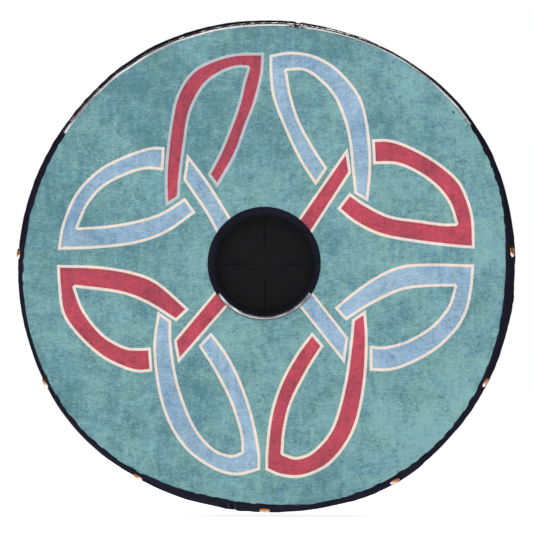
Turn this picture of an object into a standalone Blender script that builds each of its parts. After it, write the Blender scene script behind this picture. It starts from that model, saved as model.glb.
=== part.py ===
"""Slip-on cover for a vehicle's spare wheel, with a camera port in the middle of its printed face.

Everything hangs from one empty, whose local frame is easier to think in than the world's:
local +X is right, +Y is up and +Z points out of the face, towards whoever looks at it. The
empty's quarter turn about X makes those world +X, +Z and -Y. The local origin lies on the
wheel's axis, in the plane that the wheel's side rests on, so the wheel fills local Z < 0.
Sizes are in metres.
"""

from math import cos, hypot, pi, radians, sin

import bpy
from mathutils import Matrix

# ---- driving dimensions -------------------------------------------------------------------
FACE_RADIUS = 0.3865        # printed face, out to its edge seam
WIDEST_RADIUS = 0.4002      # side wall where it passes over the tyre's tread
REAR_DEPTH = 0.256          # from the wheel seat back to the rear of the cover
HEM_RADIUS = 0.290          # open mouth at the back, inside the elastic hem
PORT_RADIUS = 0.0884        # seam between the printed face and the port's lip
PORT_THROAT_RADIUS = 0.0775  # narrowest part of the lip, where the black cloth begins
LIP_ROUND = 0.0256          # radius of the lip's rounded roll into the port
SLIT_REACH = 0.072          # from the port's axis to the end of each slit in the black cloth
EYELET_COUNT = 7            # from the left round the bottom to the right, so that water drains
EYELET_FLANGE_RADIUS = 0.0085
EYELET_HOLE_RADIUS = 0.004

# ---- thicknesses and gaps -----------------------------------------------------------------
GAP = 0.0003                # between pieces that are sewn or clamped face to face
BACKING_THICK = 0.0015      # soft fleece behind the printed face
PANEL_THICK = 0.0012        # printed canvas
WALL_THICK = 0.0012         # leathercloth
TAPE_THICK = 0.0008
BINDING_THICK = 0.0010
CLOTH_THICK = 0.0013        # black stretch cloth in the port
ELASTIC_THICK = 0.0012
ELASTIC_WIDTH = 0.0110

# ---- how round things are divided ---------------------------------------------------------
RING_STEPS = 70
STEP_ANGLE = 2 * pi / RING_STEPS
PORT_STEPS = 48
EYELET_STEPS = 12
# The middle eyelet is at the very bottom, and the others are six facets apart on either side.
# The side wall is two strips, joined by seams one and a half facets to the side of the top and
# of the bottom. Starting there puts every eyelet in the middle of a flat facet.
EYELET_SPACING = 6 * STEP_ANGLE
FIRST_EYELET_ANGLE = 3 * pi / 2 - (EYELET_COUNT - 1) / 2 * EYELET_SPACING
SEAM_ANGLE = pi / 2 - 1.5 * STEP_ANGLE
SEAM_GAP_ANGLE = GAP / WIDEST_RADIUS

# ---- heights of the layers of the face, in local Z ----------------------------------------
PANEL_BACK = BACKING_THICK + GAP
FACE_Z = PANEL_BACK + PANEL_THICK
SEAM_BINDING_WIDTH = 0.0150
BACKING_RADIUS = FACE_RADIUS - GAP - SEAM_BINDING_WIDTH - GAP

# ---- side wall: outer surface as (radius, local Z), front to back -------------------------
SHOULDER_ROUND = 0.0075
SHOULDER_FIRST_NORMAL = radians(65)   # above the radial direction, where the wall meets the face
WALL_FLARE = radians(20)              # how much the wall spreads in the band that holds the eyelets
EYELET_BAND_LENGTH = 0.0197
SHOULDER_POINTS = 4


def shoulder_arc():
    """The rounded front edge, from the face's seam to where the eyelets' flared band begins."""
    start_radius = FACE_RADIUS + 3 * GAP
    centre_radius = start_radius - SHOULDER_ROUND * cos(SHOULDER_FIRST_NORMAL)
    centre_z = FACE_Z - SHOULDER_ROUND * sin(SHOULDER_FIRST_NORMAL)
    points = []
    for i in range(SHOULDER_POINTS):
        share = i / (SHOULDER_POINTS - 1)
        normal = SHOULDER_FIRST_NORMAL * (1 - share) + WALL_FLARE * share
        radius = centre_radius + SHOULDER_ROUND * cos(normal)
        points.append((radius, centre_z + SHOULDER_ROUND * sin(normal)))
    return points


def wall_profile():
    """Outer surface of the side wall, from the face's seam round to the flat rear hem."""
    points = shoulder_arc()
    radius, z = points[-1]
    points += [
        (radius + EYELET_BAND_LENGTH * sin(WALL_FLARE), z - EYELET_BAND_LENGTH * cos(WALL_FLARE)),
        (WIDEST_RADIUS, -0.034),
        (WIDEST_RADIUS, -0.100),
        (WIDEST_RADIUS, -0.165),
        (WIDEST_RADIUS - 0.0035, -0.195),
        (WIDEST_RADIUS - 0.0120, -0.220),
        (WIDEST_RADIUS - 0.0260, -0.240),
        (WIDEST_RADIUS - 0.0460, -0.252),
        (WIDEST_RADIUS - 0.0620, -REAR_DEPTH),
        (HEM_RADIUS + BINDING_THICK + ELASTIC_WIDTH + 4 * GAP, -REAR_DEPTH),
    ]
    return points


def offset_inwards(profile, distance):
    """The same open profile, moved off its outer side by a distance along the mean normals."""
    moved = []
    for i, (radius, z) in enumerate(profile):
        before = profile[max(i - 1, 0)]
        after = profile[min(i + 1, len(profile) - 1)]
        along_r = after[0] - before[0]
        along_z = after[1] - before[1]
        length = hypot(along_r, along_z)
        moved.append((radius + distance * along_z / length, z - distance * along_r / length))
    return moved


# ---- scene, collections and materials -----------------------------------------------------
def clear_scene():
    for obj in list(bpy.data.objects):
        bpy.data.objects.remove(obj, do_unlink=True)


def new_collection(name):
    collection = bpy.data.collections.new(name)
    bpy.context.scene.collection.children.link(collection)
    return collection


def new_material(name, colour, roughness, metallic=0.0):
    material = bpy.data.materials.new(name)
    material.use_nodes = True
    shader = material.node_tree.nodes["Principled BSDF"]
    shader.inputs["Base Color"].default_value = (*colour, 1.0)
    shader.inputs["Roughness"].default_value = roughness
    shader.inputs["Metallic"].default_value = metallic
    material.diffuse_color = (*colour, 1.0)
    return material


clear_scene()
PARTS = new_collection("spare_wheel_cover")
CUTTERS = new_collection("cutters")
EYELET_CUTTERS = bpy.data.collections.new("eyelet_hole_cutters")
CUTTERS.children.link(EYELET_CUTTERS)

PRINTED_CANVAS = new_material("printed_canvas", (0.13, 0.30, 0.32), 0.85)
LEATHERCLOTH = new_material("navy_leathercloth", (0.018, 0.018, 0.032), 0.38)
FLEECE = new_material("grey_fleece", (0.16, 0.16, 0.17), 0.95)
TAPE = new_material("black_tape", (0.015, 0.015, 0.018), 0.80)
ELASTIC = new_material("black_elastic", (0.020, 0.020, 0.022), 0.75)
BRASS = new_material("aged_brass", (0.52, 0.33, 0.16), 0.32, 1.0)
HOOP_PLASTIC = new_material("hoop_plastic", (0.03, 0.03, 0.03), 0.50)
BLACK_CLOTH = new_material("black_cloth", (0.010, 0.010, 0.011), 0.90)

COVER_FRAME = bpy.data.objects.new("cover_frame", None)
COVER_FRAME.rotation_euler = (pi / 2, 0, 0)
PARTS.objects.link(COVER_FRAME)


def add_object(name, data, material, collection=PARTS):
    """Link an object under the cover's frame and give it its material."""
    obj = bpy.data.objects.new(name, data)
    collection.objects.link(obj)
    obj.parent = COVER_FRAME
    if material and not data.materials:
        data.materials.append(material)
    return obj


# ---- ways of making a shape ---------------------------------------------------------------
def profile_mesh(name, profile, closed):
    mesh = bpy.data.meshes.new(name)
    count = len(profile)
    edges = [(i, (i + 1) % count) for i in range(count if closed else count - 1)]
    mesh.from_pydata([(radius, 0, z) for radius, z in profile], edges, [])
    return mesh


def add_screw(obj, steps, angle=2 * pi):
    screw = obj.modifiers.new("turn", "SCREW")
    screw.axis = "Z"
    screw.angle = angle
    screw.steps = steps
    screw.render_steps = steps
    screw.use_merge_vertices = angle == 2 * pi
    screw.merge_threshold = 0.00001
    screw.use_smooth_shade = True
    return screw


def add_solidify(obj, thickness):
    """Thicken an open surface away from the side that its normals face."""
    solidify = obj.modifiers.new("thickness", "SOLIDIFY")
    solidify.thickness = thickness
    solidify.offset = -1
    solidify.use_even_offset = True
    return solidify


def ring(name, profile, material, steps=RING_STEPS):
    """A turned solid. The profile is a loop: down its outer side, then up its inner side."""
    obj = add_object(name, profile_mesh(name, profile, True), material)
    obj.rotation_euler.z = SEAM_ANGLE
    add_screw(obj, steps)
    return obj


def flat_ring(name, inner, outer, back, front, material, steps=RING_STEPS):
    return ring(name, [(outer, front), (outer, back), (inner, back), (inner, front)], material, steps)


def swept_strip(name, profile, thickness, start, sweep, steps, material):
    """A strip of cloth that follows part of a circle, with the profile as its outer surface."""
    obj = add_object(name, profile_mesh(name, profile, False), material)
    obj.rotation_euler.z = start
    add_screw(obj, steps, sweep)
    add_solidify(obj, thickness)
    return obj


def add_cut(obj, cutter=None, collection=None):
    """Cut an object by one cutter, or by every cutter in a collection."""
    cut = obj.modifiers.new("cut", "BOOLEAN")
    cut.operation = "DIFFERENCE"
    cut.solver = "EXACT"
    if collection:
        cut.operand_type = "COLLECTION"
        cut.collection = collection
    else:
        cut.object = cutter
    return cut


def add_cutter(name, mesh, collection):
    cutter = add_object(name, mesh, None, collection)
    cutter.hide_render = True
    cutter.display_type = "WIRE"
    return cutter


def primitive_mesh(name, add, **sizes):
    """The mesh of one of Blender's own primitives, without the object that it comes on."""
    add(**sizes)
    obj = bpy.context.object
    mesh = obj.data
    mesh.name = name
    bpy.data.objects.remove(obj, do_unlink=True)
    return mesh


# ---- printed face -------------------------------------------------------------------------
def build_face():
    inner = PORT_RADIUS + WALL_THICK
    flat_ring("face_panel", inner, FACE_RADIUS, PANEL_BACK, FACE_Z, PRINTED_CANVAS)
    flat_ring("face_backing", inner, BACKING_RADIUS, 0, BACKING_THICK, FLEECE)
    binding_inner = BACKING_RADIUS + GAP
    binding_outer = binding_inner + SEAM_BINDING_WIDTH
    flat_ring("face_seam_binding", binding_inner, binding_outer, 0, BACKING_THICK, TAPE)


# ---- side wall, its seam tapes and its eyelets --------------------------------------------
def eyelet_place(index):
    """Placement of one eyelet, at the middle of its band, with local +Z out of the wall."""
    angle = FIRST_EYELET_ANGLE + index * EYELET_SPACING
    profile = wall_profile()
    front, rear = profile[SHOULDER_POINTS - 1], profile[SHOULDER_POINTS]
    radius = (front[0] + rear[0]) / 2 * cos(STEP_ANGLE / 2)
    place = Matrix.Translation((radius * cos(angle), radius * sin(angle), (front[1] + rear[1]) / 2))
    return place @ Matrix.Rotation(angle, 4, "Z") @ Matrix.Rotation(pi / 2 - WALL_FLARE, 4, "Y")


def eyelet_profile():
    """Domed flange, barrel through the wall, and the end rolled over the washer."""
    flange = EYELET_FLANGE_RADIUS
    hole = EYELET_HOLE_RADIUS
    barrel = hole + 0.0005
    roll_top = -(WALL_THICK + GAP + TAPE_THICK + GAP)
    return [
        (flange - 0.0025, 0.0017),
        (flange - 0.0006, 0.0013),
        (flange, 0.0006),
        (flange - 0.0002, GAP),
        (barrel, GAP),
        (barrel, roll_top),
        (barrel + 0.0013, roll_top),
        (barrel + 0.0010, roll_top - 0.0008),
        (hole + 0.0001, roll_top - 0.0006),
        (hole, 0.0008),
        (hole + 0.0006, 0.0014),
    ]


def washer_profile():
    inner = EYELET_HOLE_RADIUS + 0.0010
    outer = EYELET_FLANGE_RADIUS - 0.0004
    top = -(WALL_THICK + GAP)
    return [(outer, top), (outer, top - TAPE_THICK), (inner, top - TAPE_THICK), (inner, top)]


def build_eyelets():
    eyelet_mesh = profile_mesh("eyelet", eyelet_profile(), True)
    washer_mesh = profile_mesh("eyelet_washer", washer_profile(), True)
    hole_mesh = primitive_mesh(
        "eyelet_hole",
        bpy.ops.mesh.primitive_cylinder_add,
        vertices=EYELET_STEPS,
        radius=EYELET_HOLE_RADIUS + 0.0010,
        depth=0.012,
    )
    for index in range(EYELET_COUNT):
        place = eyelet_place(index)
        label = f"{index + 1:02d}"
        for name, mesh in (("eyelet_", eyelet_mesh), ("eyelet_washer_", washer_mesh)):
            piece = add_object(name + label, mesh, BRASS)
            piece.matrix_local = place
            add_screw(piece, EYELET_STEPS)
        cutter = add_cutter("eyelet_hole_" + label, hole_mesh, EYELET_CUTTERS)
        cutter.matrix_local = place


def build_side_wall():
    profile = wall_profile()
    sweep = pi - 2 * SEAM_GAP_ANGLE
    for name, first_seam in (("side_wall_left", SEAM_ANGLE), ("side_wall_right", SEAM_ANGLE + pi)):
        start = first_seam + SEAM_GAP_ANGLE
        wall = swept_strip(name, profile, WALL_THICK, start, sweep, RING_STEPS // 2, LEATHERCLOTH)
        add_cut(wall, collection=EYELET_CUTTERS)


def build_seam_tapes():
    """A tape inside the wall over each of its two seams, from the shoulder to the hem's turn."""
    clearance = WALL_THICK + 2 * GAP
    under_wall = offset_inwards(wall_profile()[SHOULDER_POINTS:-2], clearance)
    half_sweep = 0.010 / WIDEST_RADIUS
    for name, seam in (("top_seam_tape", SEAM_ANGLE), ("bottom_seam_tape", SEAM_ANGLE + pi)):
        swept_strip(name, under_wall, TAPE_THICK, seam - half_sweep, 2 * half_sweep, 2, TAPE)


# ---- elastic hem at the back --------------------------------------------------------------
def build_hem():
    """A binding folded round the wall's rear edge, with a flat elastic lying in its fold."""
    rear = -REAR_DEPTH
    lip_rear = rear - GAP
    lip_front = rear + WALL_THICK + GAP
    outer = HEM_RADIUS + 0.028
    inner = HEM_RADIUS
    fold = inner + BINDING_THICK
    profile = [
        (outer, lip_front + BINDING_THICK),
        (outer, lip_front),
        (fold, lip_front),
        (fold, lip_rear),
        (outer, lip_rear),
        (outer, lip_rear - BINDING_THICK),
        (inner, lip_rear - BINDING_THICK),
        (inner, lip_front + BINDING_THICK),
    ]
    ring("hem_binding", profile, TAPE)
    elastic_inner = fold + GAP
    elastic_outer = elastic_inner + ELASTIC_WIDTH
    flat_ring("hem_elastic", elastic_inner, elastic_outer, rear, rear + ELASTIC_THICK, ELASTIC)


# ---- camera port --------------------------------------------------------------------------
LIP_FIRST_NORMAL = radians(55)   # above the inward direction, where the lip meets the face
LIP_POINTS = 5
LIP_CENTRE_Z = FACE_Z - LIP_ROUND * sin(LIP_FIRST_NORMAL)
CLOTH_FRONT = LIP_CENTRE_Z - 2 * GAP
CLOTH_MIDDLE = CLOTH_FRONT - CLOTH_THICK / 2
CLOTH_BACK = CLOTH_FRONT - CLOTH_THICK
CLOTH_RADIUS = PORT_THROAT_RADIUS + 0.008
HINGE_DISTANCE = SLIT_REACH * cos(pi / 4)   # each flap folds along a chord between slit ends
HINGE_GAP = 0.0005                          # cloth left out on each side of that fold
SLIT_HALF_WIDTH = 0.00035
FLAP_CORNER_TRIM = 0.004                    # relief at the slit's end
HOOP_WIRE_RADIUS = 0.0020


def build_port_lip():
    """The leathercloth roll that turns from the face down into the port."""
    centre_radius = PORT_THROAT_RADIUS + LIP_ROUND
    profile = []
    for i in range(LIP_POINTS):
        normal = LIP_FIRST_NORMAL * i / (LIP_POINTS - 1)
        radius = centre_radius - LIP_ROUND * cos(normal)
        profile.append((radius, LIP_CENTRE_Z + LIP_ROUND * sin(normal)))
    swept = add_object("port_lip", profile_mesh("port_lip", profile, False), LEATHERCLOTH)
    add_screw(swept, PORT_STEPS)
    add_solidify(swept, WALL_THICK)


def build_port_hoop():
    """A round plastic hoop behind the lip keeps the port open."""
    hoop_radius = PORT_THROAT_RADIUS + WALL_THICK + 2 * GAP + HOOP_WIRE_RADIUS
    hoop_z = CLOTH_FRONT + GAP + HOOP_WIRE_RADIUS
    corners = 8
    profile = []
    for i in range(corners):
        angle = pi / 2 - 2 * pi * i / corners
        radius = hoop_radius + HOOP_WIRE_RADIUS * cos(angle)
        profile.append((radius, hoop_z + HOOP_WIRE_RADIUS * sin(angle)))
    hoop = add_object("port_hoop", profile_mesh("port_hoop", profile, True), HOOP_PLASTIC)
    add_screw(hoop, PORT_STEPS)


def build_port_binding():
    """An L-section tape that closes the back of the port round the cloth's edge and the hoop."""
    back = CLOTH_BACK - GAP
    inner = PORT_THROAT_RADIUS + 0.0010
    outer = CLOTH_RADIUS + GAP
    top = CLOTH_FRONT + 0.0060
    profile = [
        (outer + BINDING_THICK, top),
        (outer + BINDING_THICK, back - BINDING_THICK),
        (inner, back - BINDING_THICK),
        (inner, back),
        (outer, back),
        (outer, top),
    ]
    binding = add_object("port_binding", profile_mesh("port_binding", profile, True), TAPE)
    add_screw(binding, PORT_STEPS)


def build_port_cloth():
    """The fixed margin of the black cloth: a disc with a diamond opening between the slit ends."""
    disc = primitive_mesh(
        "port_cloth",
        bpy.ops.mesh.primitive_cylinder_add,
        vertices=PORT_STEPS,
        radius=CLOTH_RADIUS,
        depth=CLOTH_THICK,
    )
    cloth = add_object("port_cloth", disc, BLACK_CLOTH)
    cloth.location.z = CLOTH_MIDDLE
    square = primitive_mesh("diamond", bpy.ops.mesh.primitive_cube_add, size=2 * HINGE_DISTANCE + 2 * HINGE_GAP)
    cutter = add_cutter("port_opening", square, CUTTERS)
    cutter.location.z = CLOTH_MIDDLE
    cutter.rotation_euler.z = pi / 4
    add_cut(cloth, cutter)


def flap_curve():
    """One flap in its own frame: its fold along X through the origin, its tip up +Y."""
    half_width = HINGE_DISTANCE - FLAP_CORNER_TRIM
    slit_inset = SLIT_HALF_WIDTH / cos(pi / 4)
    corner_height = FLAP_CORNER_TRIM - slit_inset
    outline = [
        (-half_width, HINGE_GAP),
        (half_width, HINGE_GAP),
        (half_width, corner_height),
        (0, HINGE_DISTANCE - slit_inset),
        (-half_width, corner_height),
    ]
    curve = bpy.data.curves.new("port_flap", "CURVE")
    curve.dimensions = "2D"
    curve.fill_mode = "BOTH"
    curve.extrude = CLOTH_THICK / 2
    spline = curve.splines.new("POLY")
    spline.points.add(len(outline) - 1)
    for point, (x, y) in zip(spline.points, outline):
        point.co = (x, y, 0, 1)
    spline.use_cyclic_u = True
    return curve


def build_port_flaps():
    """Four flaps, each on its fold, which is its joint's axis."""
    curve = flap_curve()
    names = ("port_flap_upper_right", "port_flap_upper_left", "port_flap_lower_left", "port_flap_lower_right")
    for quarter, name in enumerate(names):
        angle = pi / 4 + quarter * pi / 2
        flap = add_object(name, curve, BLACK_CLOTH)
        flap.location = (HINGE_DISTANCE * cos(angle), HINGE_DISTANCE * sin(angle), CLOTH_MIDDLE)
        flap.rotation_euler.z = angle + pi / 2


build_face()
build_eyelets()
build_side_wall()
build_seam_tapes()
build_hem()
build_port_lip()
build_port_hoop()
build_port_binding()
build_port_cloth()
build_port_flaps()
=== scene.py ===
import math

import bpy
import numpy as np
from mathutils import Matrix, Vector
from mathutils.geometry import delaunay_2d_cdt


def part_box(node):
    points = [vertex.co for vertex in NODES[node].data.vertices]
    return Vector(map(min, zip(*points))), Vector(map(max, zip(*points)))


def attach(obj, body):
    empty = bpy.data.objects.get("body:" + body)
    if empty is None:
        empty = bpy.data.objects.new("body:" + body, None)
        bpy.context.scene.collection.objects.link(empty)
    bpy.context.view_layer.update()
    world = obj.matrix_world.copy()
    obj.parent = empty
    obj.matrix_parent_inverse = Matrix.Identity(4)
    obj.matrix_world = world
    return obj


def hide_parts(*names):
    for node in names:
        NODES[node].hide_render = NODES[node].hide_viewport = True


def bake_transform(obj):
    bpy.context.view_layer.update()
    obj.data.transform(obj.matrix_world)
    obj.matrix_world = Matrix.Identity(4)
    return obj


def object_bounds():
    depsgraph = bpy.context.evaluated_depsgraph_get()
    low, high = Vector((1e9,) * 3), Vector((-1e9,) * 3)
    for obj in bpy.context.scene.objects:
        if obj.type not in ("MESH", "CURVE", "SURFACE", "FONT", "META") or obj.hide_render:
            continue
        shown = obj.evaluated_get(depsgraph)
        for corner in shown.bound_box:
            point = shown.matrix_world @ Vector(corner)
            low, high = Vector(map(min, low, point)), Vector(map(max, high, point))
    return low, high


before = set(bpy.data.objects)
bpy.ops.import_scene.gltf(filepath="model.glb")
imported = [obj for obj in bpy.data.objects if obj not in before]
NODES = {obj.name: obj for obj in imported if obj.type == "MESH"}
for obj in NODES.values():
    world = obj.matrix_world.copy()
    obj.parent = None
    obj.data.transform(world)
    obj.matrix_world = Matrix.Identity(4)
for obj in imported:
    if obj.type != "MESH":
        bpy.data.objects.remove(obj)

# Looks of a slip-on spare wheel cover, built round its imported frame. World axes, in metres: +X is
# right and +Z up as the printed face is seen, the face looks along -Y, and the wheel's axis is Y.
# An angle is measured round that axis, anticlockwise from +X as the face is seen.

CAD_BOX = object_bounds()
COVER = "cover"
TURN = 2 * math.pi


def radii(name):
    """Least and greatest distance of a CAD node's corners from the wheel's axis."""
    distances = [math.hypot(v.co.x, v.co.z) for v in NODES[name].data.vertices]
    return min(distances), max(distances)


# ---- sizes read from the frame
PANEL_INNER, FACE_RADIUS = radii("face_panel")
FACE_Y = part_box("face_panel")[0].y
WIDEST_RADIUS = radii("side_wall_left")[1]
REAR_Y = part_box("side_wall_left")[1].y
LINING_INNER, LINING_RADIUS = radii("face_backing")
SEAM_BINDING_RADII = radii("face_seam_binding")
HEM_INNER, HEM_OUTER = radii("hem_binding")
ELASTIC_RADII = radii("hem_elastic")
THROAT_RADIUS = radii("port_lip")[0]
THROAT_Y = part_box("port_lip")[1].y
CLOTH_RADIUS = radii("port_cloth")[1]
CLOTH_FRONT_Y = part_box("port_cloth")[0].y
CLOTH_BACK_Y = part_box("port_cloth")[1].y
HOOP_RADII = radii("port_hoop")
HOOP_Y = sum(corner.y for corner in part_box("port_hoop")) / 2
PORT_BINDING_RADII = radii("port_binding")
PORT_BINDING_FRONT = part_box("port_binding")[0].y
PORT_BINDING_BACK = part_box("port_binding")[1].y

# ---- sizes that repeat the CAD's
FACET_ANGLE = TURN / 70
SEAM_ANGLES = (math.pi / 2 - 1.5 * FACET_ANGLE, 3 * math.pi / 2 - 1.5 * FACET_ANGLE)
EYELET_SPACING = 6 * FACET_ANGLE
SEAM_HALF_GAP = 0.0002
WALL_FLARE = math.radians(20)
WALL_THICK = 0.0012
SLIT_REACH = 0.072
FOLD_DISTANCE = SLIT_REACH * math.cos(math.pi / 4)
EYELET_COUNT = 7
EYELET_RADIUS = 0.0085


# ---- curves and random ripples
def spline(a, b, c, d, share):
    """The Catmull-Rom curve from b to c, a share of the way along."""
    curve = 2 * b + (c - a) * share + (2 * a - 5 * b + 4 * c - d) * share**2
    return (curve + (3 * b - a - 3 * c + d) * share**3) / 2


def smooth_path(points, steps):
    """A smooth curve through open points, with steps short stretches between each two."""
    points = np.array(points, float)
    padded = np.vstack([2 * points[0] - points[1], points, 2 * points[-1] - points[-2]])
    share = np.linspace(0, 1, steps, endpoint=False)[:, None]
    stretches = zip(padded, padded[1:], padded[2:], padded[3:])
    return np.vstack([*(spline(*stretch, share) for stretch in stretches), points[-1:]])


def ripples(seed, angles, along, turns, pitch, count=14):
    """A smooth random field of about -1 to 1: waves round the axis and along the cloth."""
    rng = np.random.default_rng(seed)
    field = np.zeros(np.broadcast(angles, along).shape)
    for _ in range(count):
        waves = rng.integers(turns[0], turns[1] + 1)
        slant = rng.uniform(-1, 1) * TURN / pitch
        field = field + np.cos(waves * angles + slant * along + rng.uniform(0, TURN))
    return field / math.sqrt(count / 2) / 1.6


def fade(value, start, end):
    """0 before start and 1 after end, easing between them. start may be the larger."""
    share = np.clip((value - start) / (end - start), 0, 1)
    return share * share * (3 - 2 * share)


# How far the cloth stands outside a true circle, in mm, every 20 degrees round from +X: first
# where the wall is widest, then where its seam meets the face. There are 9 values to a line.
WIDEST_SHIFT = (
    0.0, 4.0, 5.0, -1.0, -4.5, -3.5, -1.0, -2.5, 0.0,
    2.5, 4.5, 7.0, 1.5, -2.0, 0.5, 8.5, 5.5, 2.5)
EDGE_SHIFT = (
    0.5, 7.5, 9.0, 4.5, -3.0, -4.5, -3.5, -3.0, -1.0,
    3.0, 6.5, 9.0, 3.0, -4.5, 4.0, 11.0, 11.5, 4.5)
WIDEST_WOBBLE = 0.0002
EDGE_WOBBLE = 0.0004


def shift_round(angles, shifts):
    """A smooth curve through shifts that are evenly spaced round the axis, in metres."""
    shifts = np.array(shifts) / 1000
    place = (np.asarray(angles) % TURN) / TURN * len(shifts)
    first = np.floor(place).astype(int)
    near = (shifts[(first + step) % len(shifts)] for step in (-1, 0, 1, 2))
    return spline(*near, place - first)


def widest_shift(angles):
    return shift_round(angles, WIDEST_SHIFT) + WIDEST_WOBBLE * ripples(5, angles, 0, (16, 40), 1)


def edge_shift(angles):
    return shift_round(angles, EDGE_SHIFT) + EDGE_WOBBLE * ripples(6, angles, 0, (20, 60), 1)


def seam_distance(angles):
    """Distance round the tread from the nearer of the two wall seams."""
    gaps = [np.abs((angles - seam + math.pi) % TURN - math.pi) for seam in SEAM_ANGLES]
    return np.minimum(*gaps) * WIDEST_RADIUS


def eyelet_distance(angles):
    """Distance round the tread from the middle of the nearest eyelet."""
    from_bottom = (np.asarray(angles) - 3 * math.pi / 2 + math.pi) % TURN - math.pi
    nearest = np.round(from_bottom / EYELET_SPACING) * EYELET_SPACING
    reached = np.abs(nearest) < (EYELET_COUNT / 2) * EYELET_SPACING
    return np.where(reached, np.abs(from_bottom - nearest) * WIDEST_RADIUS, 1.0)


# ---- meshes
def new_piece(name, points, faces, made_of):
    """A smooth-shaded piece. faces is an array or a list, and made_of one material or a tuple."""
    mesh = bpy.data.meshes.new(name)
    mesh.from_pydata(np.asarray(points, float).tolist(), [], [tuple(map(int, face)) for face in faces])
    mesh.polygons.foreach_set("use_smooth", [True] * len(mesh.polygons))
    mesh.update()
    for one in made_of if isinstance(made_of, tuple) else (made_of,):
        mesh.materials.append(one)
    piece = bpy.data.objects.new(name, mesh)
    bpy.context.scene.collection.objects.link(piece)
    return piece


def grid_quads(ids):
    """The quads between the neighbouring points of a grid, from their numbers."""
    return np.stack([ids[:-1, :-1], ids[1:, :-1], ids[1:, 1:], ids[:-1, 1:]], axis=-1).reshape(-1, 4)


def ring_grid(angles, radius, depth, closed=True, loop=False):
    """Points and quads of a surface round the axis. Radius and depth have a row for each step of
    the profile and a column for each angle. Faces look out where the profile runs front to back
    on the outside, and towards -Y where it runs outwards."""
    radius, depth, angles = np.broadcast_arrays(radius, depth, angles)
    points = np.stack([radius * np.cos(angles), depth, radius * np.sin(angles)], axis=-1)
    ids = np.arange(radius.size).reshape(radius.shape)
    if closed:
        ids = np.hstack([ids, ids[:, :1]])
    if loop:
        ids = np.vstack([ids, ids[:1]])
    return points.reshape(-1, 3), grid_quads(ids)


def ring_piece(name, angles, radius, depth, made_of, closed=True, loop=False):
    points, quads = ring_grid(angles, radius, depth, closed, loop)
    return new_piece(name, points, quads, made_of)


def full_turn(steps):
    """Evenly spaced angles round the axis, as one row."""
    return np.linspace(0, TURN, steps, endpoint=False)[None, :]


def turned(name, profile, made_of):
    """A turned ring. Its profile is a list of (radius, depth), front to back on its outside."""
    profile = np.array(profile, float)
    return ring_piece(name, full_turn(240), profile[:, :1], profile[:, 1:], made_of, loop=True)


def rounded_loop(corners, steps=5):
    """A closed profile that runs smoothly through its corners."""
    corners = np.array(corners, float)
    around = smooth_path(np.vstack([corners[-1:], corners, corners[:2]]), steps)
    return around[steps:-steps - 1]


def thicken(piece, thickness, inner_slot=0):
    """Give an open sheet its thickness, on the side away from its outer face."""
    solidify = piece.modifiers.new("thickness", "SOLIDIFY")
    solidify.thickness = thickness
    solidify.offset = -1
    solidify.material_offset = inner_slot
    solidify.material_offset_rim = inner_slot


def fit_in(piece, node_name):
    """Let a piece ride on the cover in place of a CAD node."""
    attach(piece, COVER)
    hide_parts(node_name)


STITCH_LENGTH = 0.0034
STITCH_THREAD = 0.0007
STITCH_SIDES = 6
# A stitch from end to end: how far along it, how thick and how high, in lengths and half threads.
STITCH_STATIONS = (
    (-0.5, 0.25, -0.9), (-0.38, 0.85, 0.1), (0.0, 1.0, 0.5), (0.38, 0.85, 0.1), (0.5, 0.25, -0.9))


def stitches(name, places, along, up):
    """Short sunken stitches of thread, as one piece. places, along and up have a row for each."""
    along = along / np.linalg.norm(along, axis=1, keepdims=True)
    across = np.cross(up, along)
    across = across / np.linalg.norm(across, axis=1, keepdims=True)
    up = np.cross(along, across)
    sides = STITCH_SIDES
    points = []
    for reach, width, lift in STITCH_STATIONS:
        for side in range(sides):
            turn = TURN * side / sides
            offset = across * math.cos(turn) * width + up * (math.sin(turn) * width + lift)
            points.append(places + along * reach * STITCH_LENGTH + offset * STITCH_THREAD / 2)
    points = np.stack(points, axis=1)
    per_stitch = len(STITCH_STATIONS) * sides
    faces = []
    for row in range(len(STITCH_STATIONS) - 1):
        for side in range(sides):
            after = (side + 1) % sides
            near, far = row * sides, (row + 1) * sides
            faces.append((near + side, near + after, far + after, far + side))
    faces.append(tuple(reversed(range(sides))))
    faces.append(tuple(range(per_stitch - sides, per_stitch)))
    starts = range(0, len(places) * per_stitch, per_stitch)
    all_faces = [tuple(start + corner for corner in face) for start in starts for face in faces]
    piece = new_piece(name, points.reshape(-1, 3), all_faces, THREAD)
    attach(piece, COVER)


# ---- materials
def material(name, **sockets):
    """A Principled material. A keyword is a socket's name with _ for each space."""
    made = bpy.data.materials.new(name)
    made.use_nodes = True
    shader = made.node_tree.nodes["Principled BSDF"]
    for key, value in sockets.items():
        shader.inputs[key.replace("_", " ")].default_value = value
    return made


def node(made, kind, inputs, **settings):
    """One shader node. inputs gives each socket a value or the socket that feeds it."""
    added = made.node_tree.nodes.new("ShaderNode" + kind)
    for key, value in settings.items():
        setattr(added, key, value)
    for key, value in inputs.items():
        if isinstance(value, bpy.types.NodeSocket):
            made.node_tree.links.new(value, added.inputs[key])
        else:
            added.inputs[key].default_value = value
    return added


def plug(made, socket, source):
    made.node_tree.links.new(source, made.node_tree.nodes["Principled BSDF"].inputs[socket])


def noise(made, scale, detail=2.0, rough=0.5, stretch=(1, 1, 1), offset=(0, 0, 0), twist=0.0):
    """Noise from 0 to 1 on the object's own coordinates. scale is in features per metre."""
    place = node(made, "TexCoord", {}).outputs["Object"]
    mapped = node(made, "Mapping", {"Vector": place, "Scale": stretch, "Location": offset})
    inputs = {
        "Vector": mapped.outputs[0], "Scale": scale, "Detail": detail, "Roughness": rough,
        "Distortion": twist}
    return node(made, "TexNoise", inputs).outputs["Fac"]


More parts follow.
